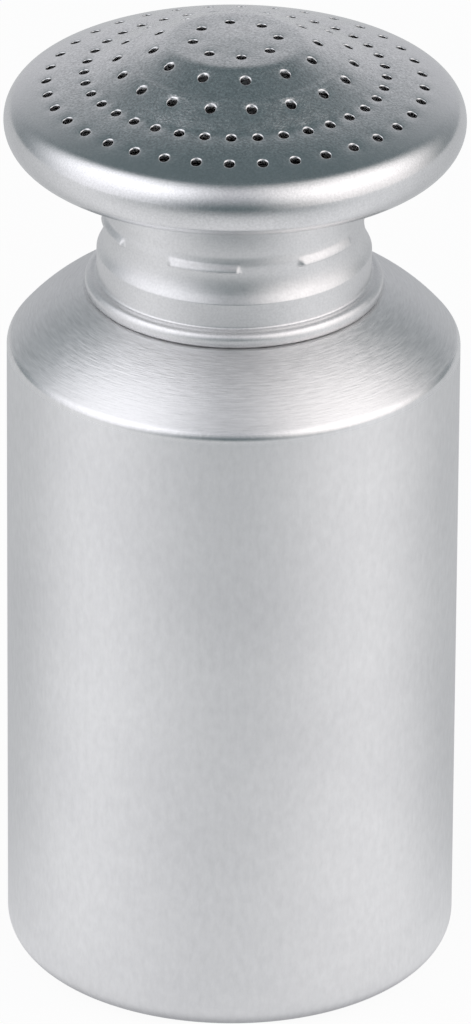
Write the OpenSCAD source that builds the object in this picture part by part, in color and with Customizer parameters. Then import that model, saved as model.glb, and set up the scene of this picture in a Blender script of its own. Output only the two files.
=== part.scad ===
// Sheet-aluminium shaker with a screw-on mushroom cap.
// Millimetres, +Z up, origin on the resting plane at the can's axis, front at -Y.

/* [Can] */
// Outer diameter of the can
can_d = 80; // [66:0.5:110]
// Height of the straight wall, from the resting plane to the edge of the shoulder
wall_h = 117.2; // [60:0.1:180]
// Thickness of the can's sheet
can_wall = 1; // [0.8:0.05:1.6]
// Radius of the rounded edge at the base
base_edge_r = 5.4; // [3:0.1:9]
// Width of the flat ring that the can stands on
foot_w = 6.6; // [3:0.1:14]
// Depth of the shallow recess under the base
recess_h = 1.2; // [0.6:0.1:2]

/* [Shoulder and neck] */
// Radius of the edge between the wall and the shoulder
shoulder_edge_r = 2; // [1.2:0.1:4]
// Height of the shoulder, from the wall's top to the seat under the cap
shoulder_h = 11.1; // [7:0.1:18]
// Angle that the shoulder's long curve turns through on its way to the seat
shoulder_turn = 28; // [10:1:36]
// Width of the flat seat that shows outside the cap's hem
seat_margin = 0.2; // [0.1:0.05:1.5]
// Outer diameter of the neck
neck_d = 41.2; // [36:0.1:44]
// Height of the neck above the seat
neck_h = 18.9; // [16:0.1:24]
// Radius of the neck's rounded rim and of the fillet at its foot
neck_edge_r = 0.45; // [0.3:0.05:0.48]

/* [Screw thread] */
// Number of lugs in the cap, and of ramps on the neck
lug_count = 6; // [3:1:6]
// Angle that one lug or one ramp covers
lug_arc = 34; // [20:1:40]
// Height of a lug where it stands inside the stem
lug_h = 0.8; // [0.6:0.05:1.2]
// Height of a ramp on the neck
ramp_h = 0.7; // [0.5:0.05:1.2]
// Depth of engagement of lug and ramp
thread_depth = 1; // [0.7:0.05:1.2]
// Running clearance between lug and ramp, up and down and sideways
thread_gap = 0.25; // [0.15:0.05:0.35]
// Distance from the neck's rim down to the middle of the lugs
lug_drop = 4.6; // [3.8:0.1:5.5]
// Angle from the front to the middle of the first lug
lug_phase = -14; // [-30:1:30]
// Height of the rounded ridge that marks a lug on the outside of the stem
ridge_h = 2.7; // [1.6:0.1:3.4]
// How far that ridge stands out
ridge_w = 0.65; // [0.2:0.05:0.8]

/* [Cap collar] */
// Thickness of the collar's sheet
collar_wall = 0.9; // [0.75:0.05:1.2]
// Height of the rolled hem, a full round bead that sits on the shoulder
hem_h = 2.9; // [2:0.1:4]
// How far the hem stands out from the skirt
hem_w = 2.2; // [2.1:0.05:3]
// Fillet between the top of the hem and the skirt
hem_fillet_r = 0.5; // [0.2:0.05:0.7]
// Height of the skirt, from the hem's foot to the flare
skirt_h = 7.6; // [5:0.1:8]
// How far the skirt stands out from the stem
flare_w = 1.45; // [1.2:0.05:2.6]
// Radius of the hollow curve between skirt and stem
flare_r = 10; // [5:0.1:12]
// Radius of the edge between skirt and flare
skirt_edge_r = 1.3; // [1.2:0.1:3]
// Air between the hem and the seat when the cap is closed
hem_gap = 0.1; // [0.05:0.05:0.6]
// Height of the groove rolled into the stem, whose rib presses on the seal
groove_h = 0.8; // [0.5:0.1:2]
// Plain height of the stem between the rib and the head
stem_top_h = 3.9; // [3:0.1:9]
// Fillet between the stem and the flange
flange_fillet_r = 1.6; // [1:0.1:2.6]

/* [Perforated head] */
// How far the head stands out past the can's wall
head_overhang = 0.5; // [-3:0.1:7]
// Radius of the full round rim
rim_r = 5.6; // [4.4:0.1:6.2]
// Thickness of the head's sheet
head_wall = 0.8; // [0.6:0.05:1.1]
// Width of the hem that is folded under the flange
lip_w = 4.4; // [2:0.1:6]
// Clearance between the head's rim and the flange's edge inside it
crimp_gap = 0.05; // [0.03:0.01:0.15]
// Slope of the outermost terrace where it meets the rim
terrace_slope = 23; // [18:0.5:26]
// Radius of the gentle curve of that terrace
terrace_r = 60; // [45:1:90]
// Radius of the bend between the crown and the upper step
crown_bend_r = 5; // [2:0.5:8]
// Outer diameter of the crown at the middle of the dome
crown_d = 23.8; // [20:0.2:26]
// Fall of the crown from its middle to its edge
crown_fall = 0.55; // [0.2:0.05:1]
// Radius of the bend at the foot of the upper step
upper_step_bend_r = 2.5; // [1:0.5:4]
// Outer diameter of the upper step's slope
upper_step_d = 36; // [33:0.2:37]
// Fall of the upper step
upper_step_fall = 2.75; // [1.4:0.05:3.2]
// Width of the narrow terrace between the steps
narrow_terrace_w = 1.1; // [0.8:0.1:1.4]
// Slope of the narrow terrace
narrow_slope = 16; // [12:0.5:20]
// Radius of the edge between the narrow terrace and the lower step
lower_step_edge_r = 1; // [0.4:0.1:1.4]
// Radius of the bend between the lower step and the wide terrace
terrace_bend_r = 8; // [4:0.5:12]
// Outer diameter of the lower step's slope
lower_step_d = 51; // [48:0.2:54]
// Fall of the lower step
lower_step_fall = 3.25; // [2.4:0.05:4]

/* [Holes] */
// Diameter of one hole
hole_d = 1.8; // [1.2:0.1:2.2]
// Distance from the crown's edge in to the first ring of holes
ring_1_inset = 4.4; // [2:0.1:7]
// Distance from the crown's edge out to the second ring
ring_2_offset = 2.5; // [1:0.1:4.5]
// Distance from the edge of the narrow terrace out to the third ring
ring_3_offset = 1.5; // [0.5:0.1:3]
// Distance from the foot of the lower step out to the fourth ring
ring_4_offset = 0.9; // [-1:0.1:3]
// Distance from the rim's widest point in to the fifth ring
ring_5_inset = 7.5; // [6.5:0.1:9]

/* [Seal] */
// Thickness of the seal
seal_h = 1.2; // [0.8:0.1:2]
// Width of the seal's ring
seal_w = 2.6; // [1.9:0.1:3]
// Clearance above and below the seal
seal_gap = 0.05; // [0.03:0.01:0.1]
// Clearance between the seal's edge and the stem
seal_side_gap = 0.3; // [0.1:0.05:0.6]

/* [Hidden] */

$fn = 96;
arc_step = 7.5;      // degrees from point to point on a rounded outline
gentle_step = 2.5;   // degrees from point to point on a curve of large radius
eps = 0.01;
front = -90;         // the front faces -Y
hole_sides = 24;     // sides of a hole's circle
least_bend_r = 0.2;  // least radius on the inside of the can's edge
ridge_root = 4;      // degrees that a ridge's curve goes on below the stem's face

can_r = can_d / 2;
neck_r = neck_d / 2;
bore_r = neck_r - can_wall;
seat_z = wall_h + shoulder_h;
rim_z = seat_z + neck_h;             // top of the neck

lead = lug_count * (lug_h + ramp_h + 2 * thread_gap);   // rise in one turn
stem_bore_r = neck_r + thread_gap + thread_depth;
stem_r = stem_bore_r + collar_wall;
skirt_r = stem_r + flare_w;
hem_r = skirt_r + hem_w;
bead_r = hem_h / 2;
seat_r = hem_r + seat_margin;
lug_tip_r = neck_r + thread_gap;
ramp_tip_r = stem_bore_r - thread_gap;
helix = atan(lead / (2 * PI * (neck_r + stem_bore_r) / 2));
lug_z = rim_z - lug_drop;
ramp_z = lug_z + lug_h / 2 + thread_gap + ramp_h / 2;

seal_z = rim_z + seal_gap;
seal_r = stem_bore_r - seal_side_gap;
rib_z = seal_z + seal_h + seal_gap;
rib_r = bore_r + can_wall / 2;       // the rib reaches over the middle of the neck's rim
rib_depth = stem_bore_r - rib_r;
rib_h = groove_h + 2 * collar_wall;

collar_z = seat_z + hem_gap;
skirt_top_z = collar_z + skirt_h;
flare_c = [stem_r + flare_r, skirt_top_z + sqrt(2 * flare_r * flare_w - flare_w * flare_w)];
flare_turn = acos(1 - flare_w / flare_r);
head_z = rib_z + rib_h + stem_top_h;       // underside of the head
flange_z = head_z + head_wall;

head_r = can_r + head_overhang;
rim_c = [head_r - rim_r, head_z + rim_r];      // middle of the round rim's section
lip_r = rim_c[0] - lip_w;
terrace_start_r = lower_step_d / 2;
terrace_c = rim_c + (rim_r - terrace_r) * [sin(terrace_slope), cos(terrace_slope)];
terrace_start_slope = asin((terrace_start_r - terrace_c[0]) / terrace_r);
terrace_start_z = terrace_c[1] + terrace_r * cos(terrace_start_slope);
narrow_r = upper_step_d / 2;
narrow_fall = narrow_terrace_w * tan(narrow_slope);
narrow_z = terrace_start_z + lower_step_fall + narrow_fall;
crown_r = crown_d / 2;
crown_z = narrow_z + upper_step_fall;
top_z = crown_z + crown_fall;

// [ring radius, number of holes, angle from the front to the first hole]
RINGS = [
    [crown_r - ring_1_inset, 8, 7.7],
    [crown_r + ring_2_offset, 12, 7],
    [narrow_r + narrow_terrace_w + ring_3_offset, 18, 8],
    [terrace_start_r + ring_4_offset, 36, -1.4],
    [head_r - ring_5_inset, 36, -1.6],
];

// Points of an arc in the section plane, from angle a0 to angle a1, ends included.
function arc(c, r, a0, a1, step = arc_step) =
    let (n = max(1, ceil(abs(a1 - a0) / step)))
    [for (i = [0:n]) c + r * [cos(a0 + (a1 - a0) * i / n), sin(a0 + (a1 - a0) * i / n)]];

function unit(v) = v / norm(v);

// Rounds the corner at b on the way from a to c with radius r.
function bend(a, b, c, r) =
    let (
        u = unit(a - b),
        w = unit(c - b),
        half = acos(max(-1, min(1, u * w))) / 2,
        m = b + unit(u + w) * r / sin(half),
        p = b + u * r / tan(half),
        q = b + w * r / tan(half),
        a0 = atan2(p[1] - m[1], p[0] - m[0]),
        turn = atan2(q[1] - m[1], q[0] - m[0]) - a0,
        sweep = turn > 180 ? turn - 360 : turn < -180 ? turn + 360 : turn
    )
    arc(m, r, a0, a0 + sweep);

// The same outline moved sideways by t, to the left of its own direction.
function shifted(pts, t) =
    [for (i = [0:len(pts) - 1])
        let (
            d0 = unit(pts[max(i, 1)] - pts[max(i, 1) - 1]),
            d1 = unit(pts[min(i, len(pts) - 2) + 1] - pts[min(i, len(pts) - 2)]),
            n0 = [-d0[1], d0[0]],
            n1 = [-d1[1], d1[0]],
            n = unit(n0 + n1)
        )
        pts[i] + n * t / (n * n0)];

function reversed(pts) = [for (i = [len(pts) - 1:-1:0]) pts[i]];

function but_last(pts) = [for (i = [0:len(pts) - 2]) pts[i]];

// The shoulder's long curve leaves its edge smoothly and ends at the seat.
edge_r = max(shoulder_edge_r, can_wall + least_bend_r);
edge_c = [can_r - edge_r, wall_h];
shoulder_run = edge_c[0] - seat_r;
half_turn = shoulder_turn / 2;
edge_lean = asin(edge_r * cos(half_turn) / norm([shoulder_run, shoulder_h]));
chord_angle = atan2(shoulder_run, shoulder_h) + edge_lean;      // of the chord's normal
chord = shoulder_run * sin(chord_angle) + shoulder_h * cos(chord_angle) + edge_r * sin(half_turn);
shoulder_r = chord / (2 * sin(half_turn));
shoulder_a0 = chord_angle - half_turn;
shoulder_a1 = chord_angle + half_turn;
shoulder_c = edge_c + (edge_r - shoulder_r) * [cos(shoulder_a0), sin(shoulder_a0)];
under_seat_a = asin((seat_z - can_wall - shoulder_c[1]) / (shoulder_r - can_wall));

// A piece of a ring that climbs with the thread, middle at angle 0.
module thread_piece(r_in, r_out, h, z) {
    translate([0, 0, z])
        rotate([helix, 0, 0])
            rotate([0, 0, -lug_arc / 2])
                rotate_extrude(angle = lug_arc)
                    translate([r_in, -h / 2])
                        square([r_out - r_in, h]);
}

module around_stem() {
    for (i = [0:lug_count - 1])
        rotate([0, 0, front + lug_phase + i * 360 / lug_count])
            children();
}

module container_body() {
    base_c = [can_r - base_edge_r, base_edge_r];
    recess_r = base_c[0] - foot_w;
    foot = [neck_r, seat_z];
    shoulder_out = arc(shoulder_c, shoulder_r, shoulder_a1, shoulder_a0, gentle_step);
    shoulder_in = arc(shoulder_c, shoulder_r - can_wall, under_seat_a, shoulder_a0, gentle_step);
    outside = concat(
        arc(base_c, base_edge_r, -90, 0),
        arc(edge_c, edge_r, 0, shoulder_a0),
        reversed(but_last(shoulder_out)),
        bend([seat_r, seat_z], foot, [neck_r, rim_z], neck_edge_r),
        arc([neck_r - neck_edge_r, rim_z - neck_edge_r], neck_edge_r, 0, 90));
    inside = concat(
        [[bore_r, rim_z]],
        [[bore_r, seat_z - can_wall]],
        but_last(shoulder_in),
        reversed(arc(edge_c, edge_r - can_wall, 0, shoulder_a0)),
        reversed(arc(base_c, base_edge_r - can_wall, -90, 0)),
        [[recess_r, can_wall], [recess_r - recess_h, can_wall + recess_h], [0, can_wall + recess_h]],
        [[0, recess_h], [recess_r - recess_h, recess_h], [recess_r, 0]]);
    color("silver") {
        rotate_extrude() polygon(concat(outside, inside));
        around_stem() thread_piece(neck_r - can_wall / 2, ramp_tip_r, ramp_h, ramp_z);
    }
}

module seal_ring() {
    color("dimgray")
        translate([0, 0, seal_z])
            difference() {
                cylinder(h = seal_h, r = seal_r);
                translate([0, 0, -eps]) cylinder(h = seal_h + 2 * eps, r = seal_r - seal_w);
            }
}

// Outer face of the collar, from the top of the hem to the middle of the flange.
function collar_face() =
    let (
        hem_top = [skirt_r, collar_z + hem_h],
        skirt_top = [skirt_r, skirt_top_z],
        flare = arc(flare_c, flare_r, 180 + flare_turn, 180),
        groove_z = rib_z + collar_wall,
        corner = [stem_r, flange_z],
        fillet_r = min(flange_fillet_r, lip_r - stem_r)
    )
    concat(
        [hem_top],
        bend(hem_top, skirt_top, flare[1], skirt_edge_r),
        [for (i = [1:len(flare) - 1]) flare[i]],
        [[stem_r, groove_z], [stem_r - rib_depth, groove_z]],
        [[stem_r - rib_depth, groove_z + groove_h], [stem_r, groove_z + groove_h]],
        bend([stem_r, rib_z + rib_h], corner, [rim_c[0], flange_z], fillet_r));

// The hem, from the foot of the skirt's inside round the bead to the skirt's face.
function hem_outline() =
    let (
        bead_c = [hem_r - bead_r, collar_z + bead_r],
        corner = [skirt_r, collar_z + hem_h],
        fillet_r = min(hem_fillet_r, bead_c[0] - skirt_r)
    )
    concat(
        [[skirt_r - collar_wall, collar_z]],
        arc(bead_c, bead_r, -90, 90),
        bend([bead_c[0], corner[1]], corner, [skirt_r, skirt_top_z], fillet_r));

// A rounded ridge on the outside of the stem, middle at angle 0.
module stem_ridge() {
    round_r = (ridge_h * ridge_h / 4 + ridge_w * ridge_w) / (2 * ridge_w);
    turn = asin(ridge_h / 2 / round_r) + ridge_root;
    translate([0, 0, lug_z])
        rotate([0, 0, -lug_arc / 2])
            rotate_extrude(angle = lug_arc)
                polygon(concat(
                    [[stem_r - collar_wall / 2, -ridge_h / 2]],
                    arc([stem_r + ridge_w - round_r, 0], round_r, -turn, turn),
                    [[stem_r - collar_wall / 2, ridge_h / 2]]));
}

module cap_collar() {
    tuck_r = rim_r - head_wall - crimp_gap;      // the flange's edge turns up inside the rim
    face = concat(collar_face(), arc(rim_c, tuck_r, arc_step - 90, 0));
    back = shifted(face, collar_wall);
    above_hem = [for (i = [1:len(face) - 1]) face[i]];
    color("lightgray") {
        rotate_extrude() polygon(concat(hem_outline(), above_hem, reversed(back)));
        around_stem() {
            thread_piece(lug_tip_r, stem_r - collar_wall / 2, lug_h, lug_z);
            stem_ridge();
        }
    }
}

// Outer face of the head, from the edge of the hem to the middle of the dome.
function head_face() =
    let (
        crown_edge = [crown_r, crown_z],
        narrow_in = [narrow_r, narrow_z],
        narrow_out = [narrow_r + narrow_terrace_w, narrow_z - narrow_fall],
        terrace = arc(terrace_c, terrace_r, 90 - terrace_slope, 90 - terrace_start_slope, gentle_step),
        last = len(terrace) - 1,
        outer = [for (i = [1:last - 1]) terrace[i]]
    )
    concat(
        [[lip_r, head_z]],
        arc(rim_c, rim_r, -90, 90 - terrace_slope),
        outer,
        bend(terrace[last - 1], terrace[last], narrow_out, terrace_bend_r),
        bend(terrace[last], narrow_out, narrow_in, lower_step_edge_r),
        bend(narrow_out, narrow_in, crown_edge, upper_step_bend_r),
        bend(narrow_in, crown_edge, [0, top_z], crown_bend_r),
        [[0, top_z]]);

module perforated_head() {
    face = head_face();
    back = shifted(face, head_wall);
    trimmed = concat([for (p = back) if (p[0] > eps) p], [[0, top_z - head_wall]]);
    color("gainsboro")
        difference() {
            rotate_extrude() polygon(concat(face, reversed(trimmed)));
            for (ring = RINGS)
                for (i = [0:ring[1] - 1])
                    rotate([0, 0, front + ring[2] + i * 360 / ring[1]])
                        translate([ring[0], 0, head_z + rim_r])
                            cylinder(h = top_z - head_z, d = hole_d, $fn = hole_sides);
        }
}

container_body();
seal_ring();
cap_collar();
perforated_head();
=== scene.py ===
import math

import bpy
import numpy as np
from mathutils import Matrix, Vector


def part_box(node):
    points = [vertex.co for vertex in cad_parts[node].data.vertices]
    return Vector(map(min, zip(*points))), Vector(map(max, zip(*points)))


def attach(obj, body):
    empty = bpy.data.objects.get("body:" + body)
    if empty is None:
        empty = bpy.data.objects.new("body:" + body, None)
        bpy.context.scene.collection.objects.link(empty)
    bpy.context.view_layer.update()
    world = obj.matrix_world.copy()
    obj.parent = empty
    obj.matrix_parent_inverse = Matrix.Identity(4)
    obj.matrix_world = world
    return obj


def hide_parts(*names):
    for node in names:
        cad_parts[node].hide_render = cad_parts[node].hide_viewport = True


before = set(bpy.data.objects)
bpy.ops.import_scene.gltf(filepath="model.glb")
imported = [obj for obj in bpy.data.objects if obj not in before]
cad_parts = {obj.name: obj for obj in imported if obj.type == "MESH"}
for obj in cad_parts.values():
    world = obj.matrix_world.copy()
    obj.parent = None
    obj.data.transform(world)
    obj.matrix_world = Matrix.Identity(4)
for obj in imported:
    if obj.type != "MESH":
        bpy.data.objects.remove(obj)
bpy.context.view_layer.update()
print("frame loaded:", ", ".join(sorted(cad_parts)))

mm = 0.001      # every size below is in millimetres, meshes are in metres


def arcPoints(centre, radius, start, end, step=6):
    count = max(1, math.ceil(abs(end - start) / step))
    angles = np.radians(np.linspace(start, end, count + 1))
    return [(centre[0] + radius * math.cos(a), centre[1] + radius * math.sin(a)) for a in angles]


def roundCorner(before, corner, after, radius, step=8):
    b = Vector(corner)
    u = (Vector(before) - b).normalized()
    w = (Vector(after) - b).normalized()
    half = u.angle(w) / 2
    middle = b + (u + w).normalized() * radius / math.sin(half)
    first = b + u * radius / math.tan(half) - middle
    last = b + w * radius / math.tan(half) - middle
    start = math.degrees(math.atan2(first.y, first.x))
    turn = math.degrees(math.atan2(last.y, last.x)) - start
    turn = (turn + 180) % 360 - 180
    return arcPoints(middle, radius, start, start + turn, step)


def sideways(points, distance):
    # the same outline moved to the left of its own direction
    p = np.array(points, float)
    d = np.diff(p, axis=0)
    d /= np.linalg.norm(d, axis=1)[:, None]
    n = np.stack([-d[:, 1], d[:, 0]], 1)
    first = np.vstack([n[:1], n])
    last = np.vstack([n, n[-1:]])
    middle = first + last
    middle /= np.linalg.norm(middle, axis=1)[:, None]
    reach = distance / (middle * first).sum(1)
    return [tuple(q) for q in p + middle * reach[:, None]]


def spaced(points, longest):
    # long straight stretches get points in between, so that a turned surface has even rows
    out = [points[0]]
    for a, b in zip(points, points[1:]):
        count = max(1, math.ceil(math.dist(a, b) / longest))
        for i in range(1, count + 1):
            out.append((a[0] + (b[0] - a[0]) * i / count, a[1] + (b[1] - a[1]) * i / count))
    return out


def meshObject(name, verts, faces, sharpAngle=50):
    mesh = bpy.data.meshes.new(name)
    mesh.from_pydata((np.asarray(verts) * mm).tolist(), [], faces)
    mesh.validate()
    mesh.update()
    mesh.shade_smooth()
    mesh.set_sharp_from_angle(angle=math.radians(sharpAngle))
    piece = bpy.data.objects.new(name, mesh)
    bpy.context.scene.collection.objects.link(piece)
    return piece


def joinLoops(faces, inner, outer):
    for i in range(len(inner)):
        j = (i + 1) % len(inner)
        faces.append((inner[i], outer[i], outer[j], inner[j]))


def turned(name, outline, segments, shape=None, sharpAngle=50):
    # a closed outline turned round the axis; points on the axis become single poles
    theta = np.arange(segments) * 2 * math.pi / segments
    verts, rows = [], []
    for r, z in outline:
        if r < 1e-6:
            rows.append([len(verts)])
            verts.append((0, 0, z))
            continue
        rr, zz = np.full(segments, float(r)), np.full(segments, float(z))
        if shape:
            rr, zz = shape(theta, rr, zz)
        rows.append(list(range(len(verts), len(verts) + segments)))
        verts.extend(zip(rr * np.cos(theta), rr * np.sin(theta), zz))
    faces = []
    for lower, upper in zip(rows, rows[1:] + rows[:1]):
        if len(lower) == 1 and len(upper) == 1:
            continue
        for i in range(segments):
            j = (i + 1) % segments
            if len(lower) == 1:
                faces.append((lower[0], upper[j], upper[i]))
            elif len(upper) == 1:
                faces.append((lower[i], lower[j], upper[0]))
            else:
                faces.append((lower[i], lower[j], upper[j], upper[i]))
    return meshObject(name, verts, faces, sharpAngle)


def smoothStep(x, low, high):
    t = np.clip((x - low) / (high - low), 0, 1)
    return t * t * (3 - 2 * t)


def newMaterial(name):
    material = bpy.data.materials.new(name)
    material.use_nodes = True
    nodes = material.node_tree.nodes
    return material, nodes, material.node_tree.links, nodes["Principled BSDF"]


def mathNode(nodes, links, operation, a, b=None, c=None):
    node = nodes.new("ShaderNodeMath")
    node.operation = operation
    for socket, value in zip(node.inputs, (a, b, c)):
        if value is None:
            continue
        if isinstance(value, (int, float)):
            socket.default_value = value
        else:
            links.new(value, socket)
    return node.outputs[0]


def noiseNode(nodes, links, vector, scale, detail=3, roughness=0.5):
    node = nodes.new("ShaderNodeTexNoise")
    node.inputs["Scale"].default_value = scale
    node.inputs["Detail"].default_value = detail
    node.inputs["Roughness"].default_value = roughness
    links.new(vector, node.inputs["Vector"])
    return node.outputs["Fac"]


def rangeNode(nodes, links, value, fromLow, fromHigh, toLow, toHigh):
    node = nodes.new("ShaderNodeMapRange")
    names = ("From Min", "From Max", "To Min", "To Max")
    for name, number in zip(names, (fromLow, fromHigh, toLow, toHigh)):
        node.inputs[name].default_value = number
    links.new(value, node.inputs["Value"])
    return node.outputs["Result"]


def rampNode(nodes, links, value, stops):
    node = nodes.new("ShaderNodeValToRGB")
    ramp = node.color_ramp
    while len(ramp.elements) < len(stops):
        ramp.elements.new(0.5)
    for element, (place, colour) in zip(ramp.elements, stops):
        element.position = place
        element.color = (*colour, 1)
    links.new(value, node.inputs["Fac"])
    return node.outputs["Color"]


noiseSpan = (0.3, 0.7)      # where most of a noise's values lie


def spreadNode(nodes, links, noise, low, high):
    return rangeNode(nodes, links, noise, *noiseSpan, low, high)


def shadeNode(nodes, links, noise, colours):
    return rampNode(nodes, links, noise, list(zip(noiseSpan, colours)))


def combine(nodes, links, blend, factor, a, b):
    node = nodes.new("ShaderNodeMix")
    node.data_type = "RGBA"
    node.blend_type = blend
    for name, value in (("Factor_Float", factor), ("A_Color", a), ("B_Color", b)):
        socket = next(item for item in node.inputs if item.identifier == name)
        if isinstance(value, (int, float)):
            socket.default_value = value
        elif isinstance(value, tuple):
            socket.default_value = (*value, 1)
        else:
            links.new(value, socket)
    return next(item for item in node.outputs if item.identifier == "Result_Color")


def bumpNode(nodes, links, height, strength, distance, normal=None):
    node = nodes.new("ShaderNodeBump")
    node.inputs["Strength"].default_value = strength
    node.inputs["Distance"].default_value = distance
    links.new(height, node.inputs["Height"])
    if normal:
        links.new(normal, node.inputs["Normal"])
    return node.outputs["Normal"]


def turnedCoordinates(nodes, links, aroundScale):
    # distance from the axis, height, and angle: grain that runs round the piece
    place = nodes.new("ShaderNodeTexCoord").outputs["Object"]
    split = nodes.new("ShaderNodeSeparateXYZ")
    links.new(place, split.inputs[0])
    x, y, z = split.outputs
    flat = mathNode(nodes, links, "ADD", mathNode(nodes, links, "MULTIPLY", x, x),
                    mathNode(nodes, links, "MULTIPLY", y, y))
    radius = mathNode(nodes, links, "SQRT", flat)
    angle = mathNode(nodes, links, "MULTIPLY", mathNode(nodes, links, "ARCTAN2", y, x), aroundScale)
    joined = nodes.new("ShaderNodeCombineXYZ")
    for socket, value in zip(joined.inputs, (radius, z, angle)):
        links.new(value, socket)
    return place, joined.outputs[0], radius, z


# grain of the satin sheet: scale, detail and roughness of a noise, strength and height of a bump
satinGrain = {
    "clouds": (55, 4, 0.6),
    "fine": (900, 3, 0.6),
    "pores": (2400, 2, 0.6),
    "lines": (2600, 2, 0.5),
    "lineStretch": 0.004,       # draws the turning lines out round the axis
    "poreTone": 0.3,
    "poreBump": (0.15, 0.00006),
    "lineBump": (0.12, 0.00003),
}


def satinMetal(name, piece):
    material, nodes, links, shader = newMaterial(name)
    place, turnedPlace, radius = turnedCoordinates(nodes, links, satinGrain["lineStretch"])[:3]
    cloudy = noiseNode(nodes, links, place, *satinGrain["clouds"])
    fine = noiseNode(nodes, links, place, *satinGrain["fine"])
    pores = noiseNode(nodes, links, place, *satinGrain["pores"])
    sheet = shadeNode(nodes, links, cloudy, piece["colour"])
    near, far = piece["pittedReach"]
    amount = rangeNode(nodes, links, radius, near * mm, far * mm, piece["pitted"], 1)
    pits = mathNode(nodes, links, "SUBTRACT", pores, 0.5)
    pits = mathNode(nodes, links, "MULTIPLY", pits, amount)
    speckle = mathNode(nodes, links, "MULTIPLY_ADD", pits, satinGrain["poreTone"], 1)
    links.new(combine(nodes, links, "MULTIPLY", 1.0, sheet, speckle), shader.inputs["Base Color"])
    links.new(spreadNode(nodes, links, fine, *piece["roughness"]), shader.inputs["Roughness"])
    lines = noiseNode(nodes, links, turnedPlace, *satinGrain["lines"])
    rough = bumpNode(nodes, links, pits, *satinGrain["poreBump"])
    links.new(bumpNode(nodes, links, lines, *satinGrain["lineBump"], rough), shader.inputs["Normal"])
    shader.inputs["Metallic"].default_value = 1
    return material


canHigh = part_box("container_body")[1]
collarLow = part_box("cap_collar")[0]
headLow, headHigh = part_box("perforated_head")

headValues = {
    "radius": headHigh.x / mm,
    "foot": headLow.z / mm,
    "top": headHigh.z / mm,
    "rim": 5.6,
    "wall": 0.8,
    "lip": 4.4,
    "terraceSlope": 23,         # where the wide terrace meets the rim
    "terraceRadius": 60,
    "terraceStart": 25.5,
    "terraceBend": 8,
    "lowerFall": 3.25,
    "lowerEdge": 1,
    "narrowWidth": 1.1,
    "narrowSlope": 16,
    "narrowStart": 18.0,
    "upperBend": 2.5,
    "crownRadius": 11.9,
    "crownFall": 0.55,
    "crownBend": 5,
    "holeRadius": 0.9,
    "holeEdge": 0.2,            # radius of the hole's rounded lip
    "lipAngles": (0, 20, 40, 60, 90),
    "dimple": 0.08,             # how far the punch drew the sheet down round a hole
    "dimpleReach": 0.9,
    "patchHalf": 1.62,          # half height of the mesh patch that holds a hole
    "patchRows": (0.2, 0.45, 0.72),     # from the lip to the patch's border
    "patchSteps": 8,
    "rowSpacing": 0.9,
    "rowGap": 0.15,             # least distance from a patch to the next row
    "slopeReach": 0.05,         # the dome's slope is taken over so much to each side
    # radius of each ring of holes, its number of holes and its start angle
    "rings": ((7.5, 8, 7.7), (14.4, 12, 7.0), (20.6, 18, 8.0), (26.4, 36, -1.4), (33.0, 36, -1.6)),
    "segments": 288,
    "colour": ((0.72, 0.725, 0.73), (0.8, 0.8, 0.805)),
    "roughness": (0.17, 0.23),
    "pitted": 4.5,              # how much stronger the pores are on the dome than on the rim
    "pittedReach": (30, 36),    # over which distance from the axis they fade
}


def headOutline(size):
    # from the folded edge under the flange, round the rim and up to the middle of the crown
    rim = (size["radius"] - size["rim"], size["foot"] + size["rim"])
    slope, curve = math.radians(size["terraceSlope"]), size["terraceRadius"]
    inward = size["rim"] - curve
    curveC = (rim[0] + inward * math.sin(slope), rim[1] + inward * math.cos(slope))
    startSlope = math.degrees(math.asin((size["terraceStart"] - curveC[0]) / curve))
    terrace = arcPoints(curveC, curve, 90 - size["terraceSlope"], 90 - startSlope, 1.5)
    narrowFall = size["narrowWidth"] * math.tan(math.radians(size["narrowSlope"]))
    narrowIn = (size["narrowStart"], terrace[-1][1] + size["lowerFall"] + narrowFall)
    narrowOut = (size["narrowStart"] + size["narrowWidth"], narrowIn[1] - narrowFall)
    top = (0, size["top"])
    crown = (size["crownRadius"], size["top"] - size["crownFall"])
    rimArc = [(rim[0] - size["lip"], size["foot"])]
    rimArc += arcPoints(rim, size["rim"], -90, 90 - size["terraceSlope"], 4)
    dome = (terrace[1:-1]
            + roundCorner(terrace[-2], terrace[-1], narrowOut, size["terraceBend"], 3)
            + roundCorner(terrace[-1], narrowOut, narrowIn, size["lowerEdge"], 5)
            + roundCorner(narrowOut, narrowIn, crown, size["upperBend"], 5)
            + roundCorner(narrowIn, crown, top, size["crownBend"], 4)
            + [top])
    return rimArc, dome


def ringTurn(size, radius):
    # each ring of holes has its own start angle, and the mesh rows turn gently from one to the next
    step = 360 / size["segments"]
    radii = [ring[0] for ring in size["rings"]]
    turns = [ring[2] - round(ring[2] / step) * step for ring in size["rings"]]
    return np.interp(radius, radii, turns)


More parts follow.
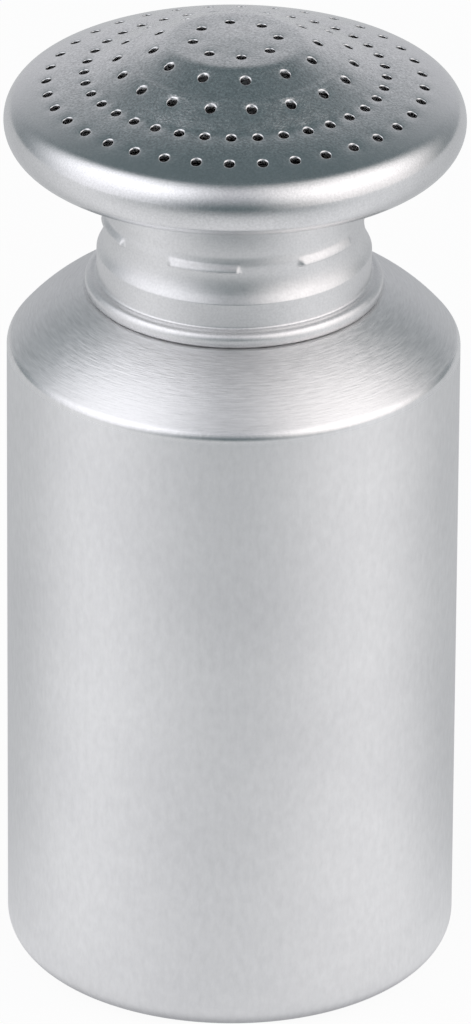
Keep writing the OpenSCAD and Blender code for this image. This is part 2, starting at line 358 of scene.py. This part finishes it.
def makeHead(size):
    rimArc, dome = headOutline(size)
    profile = sorted([rimArc[-1]] + dome)
    profileR = np.array([p[0] for p in profile])
    profileZ = np.array([p[1] for p in profile])
    segments, rings = size["segments"], size["rings"]
    holes = np.array([[r * math.cos(math.radians(-90 + phase + i * 360 / count)),
                       r * math.sin(math.radians(-90 + phase + i * 360 / count))]
                      for r, count, phase in rings for i in range(count)])

    def heights(xy):
        r = np.hypot(xy[:, 0], xy[:, 1])
        z = np.interp(r, profileR, profileZ)
        reach = size["slopeReach"]
        fall = np.interp(r + reach, profileR, profileZ) - np.interp(r - reach, profileR, profileZ)
        inner = z - size["wall"] * np.sqrt(1 + (fall / (2 * reach)) ** 2)
        near = np.sqrt(((xy[:, None, :] - holes[None]) ** 2).sum(2)).min(1)
        sunk = size["dimple"] * np.exp(-((near - size["holeRadius"]) / size["dimpleReach"]) ** 2)
        past = np.clip((near - size["holeRadius"]) / size["holeEdge"], 0, 1)
        lip = size["holeEdge"] * (1 - np.sqrt(1 - (1 - past) ** 2))
        return z - sunk - lip, inner - sunk

    verts, faces = [], []

    def addRow(radius):
        turn = ringTurn(size, radius)
        a = np.radians(-90 + turn + np.arange(segments) * 360 / segments)
        verts.extend(np.stack([radius * np.cos(a), radius * np.sin(a)], 1))
        return list(range(len(verts) - segments, len(verts)))

    # bands of plain rows between the rings of holes
    half = size["patchHalf"]
    edges = [0.0] + [r + s * half for r, _, _ in rings for s in (-1, 1)] + [rimArc[-1][0]]
    wanted = [p[0] for p in profile]
    firstRows, lastRows = [], []
    for low, high in zip(edges[::2], edges[1::2]):
        radii = [low] + [r for r in wanted if low + size["rowGap"] < r < high - size["rowGap"]] + [high]
        radii = [r for r, _ in spaced([(r, 0) for r in radii], size["rowSpacing"])]
        if low == 0:
            verts.append((0.0, 0.0))
            centre, radii = 0, radii[1:]
        rows = [addRow(r) for r in radii]
        if low == 0:
            for i in range(segments):
                faces.append((centre, rows[0][i], rows[0][(i + 1) % segments]))
        for a, b in zip(rows, rows[1:]):
            joinLoops(faces, a, b)
        firstRows.append(rows[0])
        lastRows.append(rows[-1])

    # one patch of mesh round each hole
    holeLoops = []
    for k, (radius, count, phase) in enumerate(rings):
        inner, outer = lastRows[k], firstRows[k + 1]
        across = segments // count
        middle = round(phase / (360 / segments))
        side = {}
        for s in range(count):
            column = (middle - across // 2 + s * across) % segments
            ids = [inner[column]]
            near, far = np.array(verts[inner[column]]), np.array(verts[outer[column]])
            for step in range(1, size["patchSteps"]):
                t = step / size["patchSteps"]
                verts.append(tuple(near * (1 - t) + far * t))
                ids.append(len(verts) - 1)
            side[column] = ids + [outer[column]]
        for s in range(count):
            left = (middle - across // 2 + s * across) % segments
            right = (left + across) % segments
            loop = ([inner[(left + i) % segments] for i in range(across)]
                    + side[right][:-1]
                    + [outer[(right - i) % segments] for i in range(across)]
                    + side[left][:0:-1])
            angle = math.radians(-90 + phase + s * 360 / count)
            centreXy = np.array([radius * math.cos(angle), radius * math.sin(angle)])
            border = np.array([verts[i] for i in loop])
            away = border - centreXy
            direction = away / np.linalg.norm(away, axis=1)[:, None]
            lipRadius = size["holeEdge"]
            circles = [size["holeRadius"] + lipRadius * (1 - math.cos(math.radians(angle)))
                       for angle in size["lipAngles"]]
            shells = [centreXy + direction * c for c in circles]
            ringOut = shells[-1]
            shells += [ringOut * (1 - t) + border * t for t in size["patchRows"]]
            idRows = []
            for shell in shells:
                verts.extend(shell)
                idRows.append(list(range(len(verts) - len(loop), len(verts))))
            idRows.append(loop)
            holeLoops.append(idRows[0])
            for a, b in zip(idRows, idRows[1:]):
                joinLoops(faces, a, b)

    flat = np.array([tuple(v) for v in verts], float)
    zOut, zIn = heights(flat)
    count = len(flat)
    upper = np.column_stack([flat, zOut])
    lower = np.column_stack([flat, zIn])
    allVerts = [tuple(v) for v in upper] + [tuple(v) for v in lower]
    allFaces = [tuple(f) for f in faces]
    allFaces += [tuple(i + count for i in reversed(f)) for f in faces]
    for loop in holeLoops:      # the holes' walls
        for i in range(len(loop)):
            j = (i + 1) % len(loop)
            allFaces.append((loop[i], loop[j], loop[j] + count, loop[i] + count))

    # the rim: the outer rows go down and under, the inner rows come back up inside
    edge = lastRows[-1]
    turn = ringTurn(size, rimArc[-1][0])
    a = np.radians(-90 + turn + np.arange(segments) * 360 / segments)
    outside = rimArc[::-1][1:]
    inside = sideways(rimArc, size["wall"])
    lipMiddle = ((outside[-1][0] + inside[0][0]) / 2, (outside[-1][1] + inside[0][1]) / 2)
    fold = arcPoints(lipMiddle, size["wall"] / 2, 270, 90, 30)[1:-1]
    path = outside + fold + inside[:-1]
    rows = [edge]
    for r, z in path:
        rows.append(list(range(len(allVerts), len(allVerts) + segments)))
        allVerts.extend(zip(r * np.cos(a), r * np.sin(a), np.full(segments, z)))
    rows.append([i + count for i in edge])
    for top, bottom in zip(rows, rows[1:]):
        joinLoops(allFaces, top, bottom)
    return meshObject("perforatedHead", allVerts, allFaces)


head = makeHead(headValues)
head.data.materials.append(satinMetal("satinHeadMetal", headValues))
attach(head, "cap")
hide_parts("perforated_head")
print("perforated head:", len(head.data.vertices), "points")


collarValues = {
    "foot": collarLow.z / mm,
    "stem": 22.75,
    "wall": 0.9,
    "hemOut": 2.1,
    "hemHeight": 2.9,
    "hemDrop": 0.06,            # how much nearer to the seat the bead comes than the skirt's edge
    "hemFillet": 0.5,
    "hemFootPower": 2.8,        # 2 is a round bead, more is a fuller lower half
    "skirtOut": 1.45,
    "skirtHeight": 7.6,
    "skirtEdge": 0.6,           # bend between skirt and flare, outside and inside
    "skirtEdgeInside": 1.3,
    "flareRadius": 10,
    "waist": 0.32,              # how far the stem draws in under the head
    "waistZ": 145.0,
    "ringStep": 0.25,           # soft step where the stem takes the lugs
    "ringZ": (142.3, 144.4),
    "grooveDepth": 1.75,
    "grooveHeight": 0.8,
    "grooveZ": 149.4,
    "grooveEdge": 0.25,
    "fillet": 1.6,
    "tuckGap": 0.05,            # between the flange's turned-up edge and the inside of the rim
    "tuckStart": -84,           # angle where that edge begins to turn up
    "lugCount": 6,
    "lugArc": 34,
    "lugPhase": -14,
    "lugZ": 142.6,
    "lugRise": 12.0,            # rise of the thread in one full turn
    "lugDepth": 1.0,
    "lugHalf": 0.4,
    "lugSide": 0.3,             # height of a lug's sloping side
    "lugReach": 3,              # no lug or ridge reaches further up or down from lugZ
    "lugStart": (-0.01, 0.06),  # radians over which a lug's ends rise and fall
    "lugEnd": (-0.035, 0.01),
    "ridgeOut": 0.65,
    "ridgeZ": (141.3, 141.65, 143.3),   # foot, crest and top of a ridge
    "fineMargin": 0.3,          # the close rows reach so far past the ridges and the soft step
    "fineRow": 0.1,
    "plainRow": 0.4,
    "rowSpacing": 0.8,
    "segments": 600,
    "sharpAngle": 60,
    "colour": ((0.79, 0.79, 0.795), (0.86, 0.86, 0.86)),
    "roughness": (0.33, 0.4),
    "pitted": 1,
    "pittedReach": (0, 1),
}


def collarFace(size, headSize, edge, drawn):
    # outer face from the top of the hem up to the middle of the flange
    skirt = size["stem"] + size["skirtOut"]
    hemTop = (skirt, size["foot"] + size["hemHeight"])
    skirtTop = (skirt, size["foot"] + size["skirtHeight"])
    radius, out = size["flareRadius"], size["skirtOut"]
    flareC = (size["stem"] + radius, skirtTop[1] + math.sqrt(2 * radius * out - out * out))
    flare = arcPoints(flareC, radius, 180 + math.degrees(math.acos(1 - out / radius)), 180, 3)
    flange = headSize["foot"] + headSize["wall"]
    rim = (headSize["radius"] - headSize["rim"], headSize["foot"] + headSize["rim"])
    grooveIn, grooveTop = size["stem"] - size["grooveDepth"], size["grooveZ"] + size["grooveHeight"]
    stemTop = (size["stem"] - stemDraw(size, size["grooveZ"]) * drawn, size["grooveZ"])
    above = (size["stem"], grooveTop + 1)
    face = [hemTop] + roundCorner(hemTop, skirtTop, flare[3], edge, 6) + flare[3:]
    low, high = size["ridgeZ"][0] - size["fineMargin"], size["ringZ"][1] + size["fineMargin"]
    face = [point for point in face if point[1] < low - size["fineRow"] / 2]
    stemRows = list(np.arange(low, high, size["fineRow"]))
    stemRows += list(np.arange(high, size["grooveZ"] - 2 * size["grooveEdge"], size["plainRow"]))
    face += [(stemRadius(size, flareC, z) - stemDraw(size, z) * drawn, z) for z in stemRows]
    face += roundCorner(face[-1], stemTop, (grooveIn, size["grooveZ"]), size["grooveEdge"], 20)
    face += [(grooveIn, size["grooveZ"]), (grooveIn, grooveTop)]
    face += roundCorner((grooveIn, grooveTop), (size["stem"], grooveTop), above, size["grooveEdge"], 20)
    face += roundCorner(above, (size["stem"], flange), (rim[0], flange), size["fillet"], 10)
    tuck = headSize["rim"] - headSize["wall"] - size["tuckGap"]
    return face + arcPoints(rim, tuck, size["tuckStart"], 0, 8)


def stemRadius(size, flareC, z):
    if z >= flareC[1]:
        return size["stem"]
    return flareC[0] - math.sqrt(size["flareRadius"] ** 2 - (flareC[1] - z) ** 2)


def stemDraw(size, z):
    # how far the stem's face lies inside its full radius at a height
    above = max(0, (z - size["waistZ"]) / (size["grooveZ"] - size["waistZ"]))
    return size["ringStep"] * smoothStep(z, *size["ringZ"]) + size["waist"] * above ** 2


def fullerFoot(point, centre, radius, power):
    # a point of the round bead, moved out to the fuller lower half
    x, z = (point[0] - centre[0]) / radius, (point[1] - centre[1]) / radius
    if z >= 0:
        return point
    return centre[0] + radius * abs(x) ** (2 / power), centre[1] - radius * abs(z) ** (2 / power)


def collarOutline(size, headSize):
    face = collarFace(size, headSize, size["skirtEdge"], 1)
    back = sideways(collarFace(size, headSize, size["skirtEdgeInside"], 0), size["wall"])
    foot, bead = size["foot"], size["hemHeight"] / 2
    skirt = size["stem"] + size["skirtOut"]
    drop = size["hemDrop"]
    hemC = (skirt + size["hemOut"] - bead, foot + bead)
    hem = arcPoints(hemC, bead, -90, 90, 8)
    hem = [fullerFoot(point, hemC, bead, size["hemFootPower"]) for point in hem]
    hem = [(r, z - drop * max(0, hemC[1] - z) / bead) for r, z in hem]
    corner = roundCorner(hem[-1], (skirt, foot + size["hemHeight"]), face[1], size["hemFillet"], 15)
    rows = spaced(face[1:], size["rowSpacing"]) + spaced(back[::-1], size["rowSpacing"])[:-1]
    return [(skirt - size["wall"], foot)] + hem + corner + rows


def collarShape(size):
    mid = math.radians(-90 + size["lugPhase"])
    pitch = 2 * math.pi / size["lugCount"]
    halfArc = math.radians(size["lugArc"]) / 2
    bore, tolerance = size["stem"] - size["wall"], 0.1
    foot, crest, top = size["ridgeZ"]

    def shape(theta, r, z):
        if abs(z[0] - size["lugZ"]) > size["lugReach"] or r[0] < bore - tolerance:
            return r, z
        along = (theta - mid + pitch / 2) % pitch - pitch / 2
        ends = smoothStep(along, *(step - halfArc for step in size["lugStart"]))
        ends *= 1 - smoothStep(along, *(step + halfArc for step in size["lugEnd"]))
        if r[0] > bore + tolerance:
            section = smoothStep(z, foot, crest) * (1 - smoothStep(z, crest, top))
            return r + size["ridgeOut"] * ends * section, z
        up = z - size["lugZ"] - size["lugRise"] * along / (2 * math.pi)
        body = smoothStep(size["lugHalf"] + size["lugSide"] / 2 - np.abs(up), 0, size["lugSide"])
        return r - size["lugDepth"] * ends * body, z
    return shape


collar = turned("capCollar", collarOutline(collarValues, headValues), collarValues["segments"],
                collarShape(collarValues), collarValues["sharpAngle"])
collar.data.materials.append(satinMetal("satinCollarMetal", collarValues))
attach(collar, "cap")
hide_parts("cap_collar")
print("collar:", len(collar.data.vertices), "points")


canValues = {
    "radius": canHigh.x / mm,
    "rimZ": canHigh.z / mm,
    "wall": 1.0,
    "baseEdge": 5.4,
    "footWidth": 6.6,
    "recess": 1.2,
    "recessBend": 0.8,
    "recessEdge": 0.3,
    "wallTop": 117.2,
    "edge": 2.0,                # between the wall and the shoulder
    "shoulderTurn": 28,         # angle of the shoulder's long curve
    "seatZ": 128.3,
    "seatR": 26.6,
    "seatEdge": 0.3,
    "neck": 20.6,
    "neckFoot": 0.45,
    "rampCount": 6,
    "rampArc": 34,
    "rampPhase": -14,
    "rampZ": 143.6,
    "rampHeight": 0.7,
    "rampDepth": 1.0,
    "rampSide": 0.2,            # height of a ramp's sloping side
    "rampEnd": 0.06,            # radians over which its ends rise
    "rampReach": 1.6,
    "rampRow": 0.1,
    "outerRow": 2.5,
    "innerRow": 4,
    "segments": 360,
    "sharpAngle": 40,
    "colour": ((0.81, 0.81, 0.815), (0.88, 0.88, 0.88)),
    "wallRoughness": (0.33, 0.39),
    "wallTone": (0.95, 1.04),   # how far the specks and the turning lines darken or lighten the sheet
    "shoulderRoughness": (0.37, 0.47),
    "shoulderTone": (0.9, 1.08),
    "shoulderStart": (1.0, 1.8),    # over the wall's top
    "rubbedEdge": (0.0, 1.1),
    "rubbedFade": (0.8, 0.6),   # how far the rubbed edge fades out below and above
    "rubbedRoughness": 0.55,    # share of the sheet's roughness that is left there
    "stretch": 0.6,             # reflections drawn out across the turning lines
    "stretchTurn": 0.25,
    "clouds": (30, 4, 0.6),     # scale, detail and roughness of a noise
    "fine": (1500, 3, 0.6),
    "lines": (2600, 3, 0.6),
    "lineStretch": 0.004,
    "specks": (900, 4, 0.65),
    "speckStretch": (0, 0.4, 1),
    "fineBump": (0.3, 0.00005),     # strength and height
    "lineBump": (0.8, 0.0001),
}


def shoulderCurve(size):
    # the long curve leaves the edge smoothly and ends at the seat
    edge, half = size["edge"], math.radians(size["shoulderTurn"] / 2)
    edgeC = (size["radius"] - edge, size["wallTop"])
    run, rise = edgeC[0] - size["seatR"], size["seatZ"] - edgeC[1]
    normal = math.atan2(run, rise) + math.asin(edge * math.cos(half) / math.hypot(run, rise))
    chord = run * math.sin(normal) + rise * math.cos(normal) + edge * math.sin(half)
    radius, start = chord / (2 * math.sin(half)), normal - half
    centre = (edgeC[0] + (edge - radius) * math.cos(start), edgeC[1] + (edge - radius) * math.sin(start))
    return edgeC, centre, radius, math.degrees(start)


def canOutline(size):
    r, wall, edge, baseEdge = size["radius"], size["wall"], size["edge"], size["baseEdge"]
    baseC = (r - baseEdge, baseEdge)
    edgeC, curveC, curve, start = shoulderCurve(size)
    seat, rim = (size["seatR"], size["seatZ"]), size["rimZ"]
    neck, bore = size["neck"], size["neck"] - wall
    out = arcPoints(baseC, baseEdge, -90, 0, 6)
    out += arcPoints(edgeC, edge, 0, start, 5)
    out += arcPoints(curveC, curve, start, start + size["shoulderTurn"], 1.5)[1:-1]
    out += roundCorner(out[-1], seat, (neck, size["seatZ"]), size["seatEdge"], 10)
    out += roundCorner(seat, (neck, size["seatZ"]), (neck, rim), size["neckFoot"], 20)
    rampLow, rampHigh = size["rampZ"] - size["rampReach"], size["rampZ"] + size["rampReach"]
    out += [(neck, z) for z in np.arange(rampLow, rampHigh, size["rampRow"])]
    out += arcPoints((neck - wall / 2, rim - wall / 2), wall / 2, 0, 180, 15)
    under = math.degrees(math.asin((size["seatZ"] - wall - curveC[1]) / (curve - wall)))
    back = [(bore, size["seatZ"] - wall)]
    back += arcPoints(curveC, curve - wall, under, start, 3)
    back += arcPoints(edgeC, edge - wall, start, 0, 15)[1:]
    back += arcPoints(baseC, baseEdge - wall, 0, -90, 10)
    recessR = baseC[0] - size["footWidth"]
    depth = size["recess"]
    back += [(recessR, wall), (recessR - depth, wall + depth), (0, wall + depth)]
    base = [(0, depth)]
    base += roundCorner((0, depth), (recessR - depth, depth), (recessR, 0), size["recessBend"], 12)
    base += roundCorner((recessR - depth, depth), (recessR, 0), baseC, size["recessEdge"], 12)
    return (spaced(out, size["outerRow"]) + spaced(back, size["innerRow"])
            + spaced(base, size["innerRow"]))


def canShape(size):
    tolerance = 0.01
    mid = math.radians(-90 + size["rampPhase"])
    pitch = 2 * math.pi / size["rampCount"]
    halfArc = math.radians(size["rampArc"]) / 2

    def shape(theta, r, z):
        if abs(r[0] - size["neck"]) > tolerance or abs(z[0] - size["rampZ"]) > size["rampReach"]:
            return r, z
        along = (theta - mid + pitch / 2) % pitch - pitch / 2
        up = z - size["rampZ"] - collarValues["lugRise"] * along / (2 * math.pi)
        ends = smoothStep(halfArc - np.abs(along), 0, size["rampEnd"])
        body = smoothStep(size["rampHeight"] / 2 + size["rampSide"] / 4 - np.abs(up), 0, size["rampSide"])
        return r + size["rampDepth"] * ends * body, z
    return shape


def canMetal(piece):
    material, nodes, links, shader = newMaterial("canMetal")
    place, turnedPlace, _, z = turnedCoordinates(nodes, links, piece["lineStretch"])
    upright = nodes.new("ShaderNodeMapping")        # specks on the wall stand upright
    upright.inputs["Scale"].default_value = piece["speckStretch"]
    links.new(turnedCoordinates(nodes, links, piece["radius"] * mm)[1], upright.inputs["Vector"])
    low, high = (piece["wallTop"] + reach for reach in piece["shoulderStart"])
    onShoulder = rangeNode(nodes, links, z, low * mm, high * mm, 0, 1)
    cloudy = noiseNode(nodes, links, place, *piece["clouds"])
    sheet = shadeNode(nodes, links, cloudy, piece["colour"])
    fine = noiseNode(nodes, links, place, *piece["fine"])
    lines = noiseNode(nodes, links, turnedPlace, *piece["lines"])
    specks = noiseNode(nodes, links, upright.outputs[0], *piece["specks"])
    wallTone = spreadNode(nodes, links, specks, *piece["wallTone"])
    shoulderTone = spreadNode(nodes, links, lines, *piece["shoulderTone"])
    tone = combine(nodes, links, "MIX", onShoulder, wallTone, shoulderTone)
    links.new(combine(nodes, links, "MULTIPLY", 1.0, sheet, tone), shader.inputs["Base Color"])
    mix = nodes.new("ShaderNodeMix")
    links.new(onShoulder, mix.inputs["Factor"])
    links.new(spreadNode(nodes, links, fine, *piece["wallRoughness"]), mix.inputs[2])
    links.new(spreadNode(nodes, links, lines, *piece["shoulderRoughness"]), mix.inputs[3])
    # handling has rubbed the edge between wall and shoulder smooth
    low, high = (piece["wallTop"] + reach for reach in piece["rubbedEdge"])
    below, above = piece["rubbedFade"]
    rubbed = mathNode(nodes, links, "MULTIPLY",
                      rangeNode(nodes, links, z, (low - below) * mm, low * mm, 0, 1),
                      rangeNode(nodes, links, z, high * mm, (high + above) * mm, 1, 0))
    smoother = rangeNode(nodes, links, rubbed, 0, 1, 1, piece["rubbedRoughness"])
    links.new(mathNode(nodes, links, "MULTIPLY", mix.outputs[0], smoother), shader.inputs["Roughness"])
    pores = bumpNode(nodes, links, fine, *piece["fineBump"])
    turning = mathNode(nodes, links, "MULTIPLY", lines, onShoulder)
    links.new(bumpNode(nodes, links, turning, *piece["lineBump"], pores), shader.inputs["Normal"])
    shader.inputs["Metallic"].default_value = 1
    shader.inputs["Anisotropic"].default_value = piece["stretch"]
    shader.inputs["Anisotropic Rotation"].default_value = piece["stretchTurn"]
    return material


can = turned("containerCan", canOutline(canValues), canValues["segments"],
             canShape(canValues), canValues["sharpAngle"])
can.data.materials.append(canMetal(canValues))
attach(can, "container")
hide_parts("container_body")
print("can:", len(can.data.vertices), "points")


sealLow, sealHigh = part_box("seal_ring")
sealValues = {
    "outer": sealHigh.x / mm,
    "width": 2.6,
    "foot": sealLow.z / mm,
    "height": (sealHigh.z - sealLow.z) / mm,
    "edge": 0.25,
    "segments": 180,
    "colour": ((0.42, 0.4, 0.37), (0.55, 0.53, 0.49)),
    "roughness": (0.6, 0.8),
    "speck": (700, 3, 0.6),
    "speckBump": (0.4, 0.00008),
}


def sealOutline(size):
    outer, inner = size["outer"], size["outer"] - size["width"]
    low, high, e = size["foot"], size["foot"] + size["height"], size["edge"]
    corners = ((outer - e, low + e), (outer - e, high - e), (inner + e, high - e), (inner + e, low + e))
    out = []
    for corner, start in zip(corners, (-90, 0, 90, 180)):
        out += arcPoints(corner, e, start, start + 90, 20)
    return out


def sealRubber(piece):
    material, nodes, links, shader = newMaterial("sealRubber")
    place = nodes.new("ShaderNodeTexCoord").outputs["Object"]
    speck = noiseNode(nodes, links, place, *piece["speck"])
    links.new(shadeNode(nodes, links, speck, piece["colour"]), shader.inputs["Base Color"])
    links.new(spreadNode(nodes, links, speck, *piece["roughness"]), shader.inputs["Roughness"])
    links.new(bumpNode(nodes, links, speck, *piece["speckBump"]), shader.inputs["Normal"])
    return material


seal = turned("sealRing", sealOutline(sealValues), sealValues["segments"])
seal.data.materials.append(sealRubber(sealValues))
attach(seal, "seal")
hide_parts("seal_ring")
print("seal done")


floorLook = {
    "half": 4.0,
    "colour": (0.86, 0.86, 0.86),
    "roughness": 0.9,
    "cameraWhite": 0.94,        # share of plain white that the camera sees, the rest keeps the shadow
    # near to farBack and under: tones of the floor's glow that only reflections see, painted light and
    # shade rather than the floor's own colour
    "near": (0.75, 0.755, 0.775),
    "side": (0.875, 0.88, 0.9),
    "farFront": (0.2, 0.228, 0.24),
    "farBack": (0.585, 0.595, 0.61),
    "frontRadius": 0.44,        # where the floor in front is half dark
    "frontFall": 2.6,
    "frontEdge": (85, 0),       # degrees from the front over which the front tone comes in
    "backEdge": (120, 52),
    "farRadius": 0.1,
    "under": (0.43, 0.435, 0.455),  # in the shade of the base's rounded edge
    "underRadius": (0.0375, 0.0415),
}

# bright windows of the studio, in degrees round the object and above the floor
windowLook = {
    "back": {"azimuth": 180, "full": 14, "fade": 55, "top": 8, "topFade": 53,
             "colour": (0.595, 0.6, 0.625)},
    "front": {"azimuth": 0, "full": 43, "fade": 15, "top": 61, "topFade": 33, "foot": 0, "footFade": 60,
              "colour": (0.615, 0.62, 0.655)},
    "left": {"azimuth": -70, "full": 4, "fade": 60, "top": 41, "topFade": 60,
             "colour": (1.055, 1.055, 1.1)},
    "right": {"azimuth": 69, "full": 11, "fade": 53, "top": 42, "topFade": 60,
              "colour": (1.09, 1.055, 1.055)},
    "leftBox": {"azimuth": -70, "full": 17, "fade": 48, "top": 49, "topFade": 34,
                "foot": 0, "footFade": 47, "colour": (1.45, 1.45, 1.51)},
    "rightBox": {"azimuth": 71, "full": 9, "fade": 57, "top": 38, "topFade": 42,
                 "foot": 0, "footFade": 39, "colour": (1.575, 1.52, 1.52)},
}
roomColour = (0.12, 0.156, 0.168)


def plane(name, corners):
    mesh = bpy.data.meshes.new(name)
    mesh.from_pydata(corners, [], [(0, 1, 2, 3)])
    piece = bpy.data.objects.new(name, mesh)
    bpy.context.scene.collection.objects.link(piece)
    return piece


def softStep(nodes, links, value, low, high):
    node = nodes.new("ShaderNodeMapRange")
    node.interpolation_type = "SMOOTHSTEP"
    node.inputs["From Min"].default_value = low
    node.inputs["From Max"].default_value = high
    links.new(value, node.inputs["Value"])
    return node.outputs["Result"]


def azimuthOf(nodes, links, vector):
    # degrees from the front, positive towards +X, and height as the vector's Z
    split = nodes.new("ShaderNodeSeparateXYZ")
    links.new(vector, split.inputs[0])
    forward = mathNode(nodes, links, "MULTIPLY", split.outputs[1], -1)
    angle = mathNode(nodes, links, "ARCTAN2", split.outputs[0], forward)
    return mathNode(nodes, links, "MULTIPLY", angle, 180 / math.pi), split.outputs


def awayFrom(nodes, links, azimuth, centre):
    # unsigned angle between an azimuth and a centre, always 0 to 180
    around = mathNode(nodes, links, "ADD", azimuth, 540 - centre)
    around = mathNode(nodes, links, "MODULO", around, 360)
    return mathNode(nodes, links, "ABSOLUTE", mathNode(nodes, links, "SUBTRACT", around, 180))


def floorMaterial(look):
    material, nodes, links, shader = newMaterial("paleFloor")
    shader.inputs["Base Color"].default_value = (*look["colour"], 1)
    shader.inputs["Roughness"].default_value = look["roughness"]
    shader.inputs["Specular IOR Level"].default_value = 0
    place = nodes.new("ShaderNodeTexCoord").outputs["Object"]
    azimuth, axes = azimuthOf(nodes, links, place)
    flat = mathNode(nodes, links, "ADD", mathNode(nodes, links, "MULTIPLY", axes[0], axes[0]),
                    mathNode(nodes, links, "MULTIPLY", axes[1], axes[1]))
    radius = mathNode(nodes, links, "SQRT", flat)
    ratio = mathNode(nodes, links, "DIVIDE", radius, look["frontRadius"])
    fall = mathNode(nodes, links, "ADD", mathNode(nodes, links, "POWER", ratio, look["frontFall"]), 1)
    close = mathNode(nodes, links, "DIVIDE", 1, fall)
    # the floor's glow is painted light and shade: lighter at the sides where the softboxes fall, darker
    # far in front and behind
    front = combine(nodes, links, "MIX", close, look["farFront"], look["near"])
    away = softStep(nodes, links, radius, 0, look["farRadius"])
    side = combine(nodes, links, "MIX", away, look["near"], look["side"])
    back = combine(nodes, links, "MIX", away, look["near"], look["farBack"])
    toFront = softStep(nodes, links, awayFrom(nodes, links, azimuth, 0), *look["frontEdge"])
    toBack = softStep(nodes, links, awayFrom(nodes, links, azimuth, 180), *look["backEdge"])
    paintedFloorGlow = combine(nodes, links, "MIX", toFront, side, front)
    paintedFloorGlow = combine(nodes, links, "MIX", toBack, paintedFloorGlow, back)
    # painted shade on the glow close round the base's rounded edge
    clear = softStep(nodes, links, radius, *look["underRadius"])
    paintedFloorGlow = combine(nodes, links, "MIX", clear, look["under"], paintedFloorGlow)
    path = nodes.new("ShaderNodeLightPath")
    paintedFloorGlow = combine(nodes, links, "MIX", path.outputs["Is Camera Ray"], paintedFloorGlow, (1.0, 1.0, 1.0))
    glow = nodes.new("ShaderNodeEmission")
    links.new(paintedFloorGlow, glow.inputs["Color"])
    seen = mathNode(nodes, links, "MAXIMUM", path.outputs["Is Glossy Ray"],
                    path.outputs["Is Transmission Ray"])
    white = mathNode(nodes, links, "MULTIPLY", path.outputs["Is Camera Ray"], look["cameraWhite"])
    seen = mathNode(nodes, links, "MAXIMUM", seen, white)
    mix = nodes.new("ShaderNodeMixShader")
    links.new(seen, mix.inputs[0])
    links.new(shader.outputs[0], mix.inputs[1])
    links.new(glow.outputs[0], mix.inputs[2])
    links.new(mix.outputs[0], nodes["Material Output"].inputs["Surface"])
    return material


half = floorLook["half"]
floor = plane("floor", [(-half, -half, 0), (half, -half, 0), (half, half, 0), (-half, half, 0)])
floor.data.materials.append(floorMaterial(floorLook))


def makeWorld():
    world = bpy.data.worlds.new("studio")
    bpy.context.scene.world = world
    world.use_nodes = True
    nodes, links = world.node_tree.nodes, world.node_tree.links
    direction = nodes.new("ShaderNodeTexCoord").outputs["Generated"]
    azimuth, axes = azimuthOf(nodes, links, direction)
    height = mathNode(nodes, links, "ARCSINE", axes[2])
    height = mathNode(nodes, links, "MULTIPLY", height, 180 / math.pi)
    shade = roomColour
    for look in windowLook.values():
        away = awayFrom(nodes, links, azimuth, look["azimuth"])
        side = softStep(nodes, links, away, look["full"] + look["fade"], look["full"])
        top = softStep(nodes, links, height, look["top"] + look["topFade"], look["top"])
        amount = mathNode(nodes, links, "MULTIPLY", side, top)
        if "foot" in look:
            foot = softStep(nodes, links, height, look["foot"], look["foot"] + look["footFade"])
            amount = mathNode(nodes, links, "MULTIPLY", amount, foot)
        shade = combine(nodes, links, "MIX", amount, shade, look["colour"])
    path = nodes.new("ShaderNodeLightPath")
    shade = combine(nodes, links, "MIX", path.outputs["Is Camera Ray"], shade, (1.0, 1.0, 1.0))
    links.new(shade, nodes["Background"].inputs["Color"])


makeWorld()

cameraLook = {
    "aim": (0.54, 0.0, 83.74),
    "distance": 2178.6,
    "elevation": 26.57,
    "roll": 0.40,
    "focal": 12272,         # both in pixels, only their ratio counts
    "longSide": 1024,
    "sensor": 36.0,
    "farthest": 50,
}


def makeCamera(look):
    data = bpy.data.cameras.new("camera")
    data.sensor_width = look["sensor"]
    data.lens = look["focal"] * look["sensor"] / look["longSide"]
    data.clip_end = look["farthest"]
    camera = bpy.data.objects.new("camera", data)
    elevation = math.radians(look["elevation"])
    back = Vector((0, -math.cos(elevation), math.sin(elevation)))
    aim = Vector(look["aim"]) * mm
    turn = back.to_track_quat("Z", "Y").to_matrix().to_4x4()
    camera.matrix_world = (Matrix.Translation(aim + back * look["distance"] * mm) @ turn
                           @ Matrix.Rotation(math.radians(look["roll"]), 4, "Z"))
    bpy.context.scene.collection.objects.link(camera)
    bpy.context.scene.camera = camera


makeCamera(cameraLook)
bpy.context.scene.view_settings.view_transform = "Standard"

print("camera, studio and floor done")
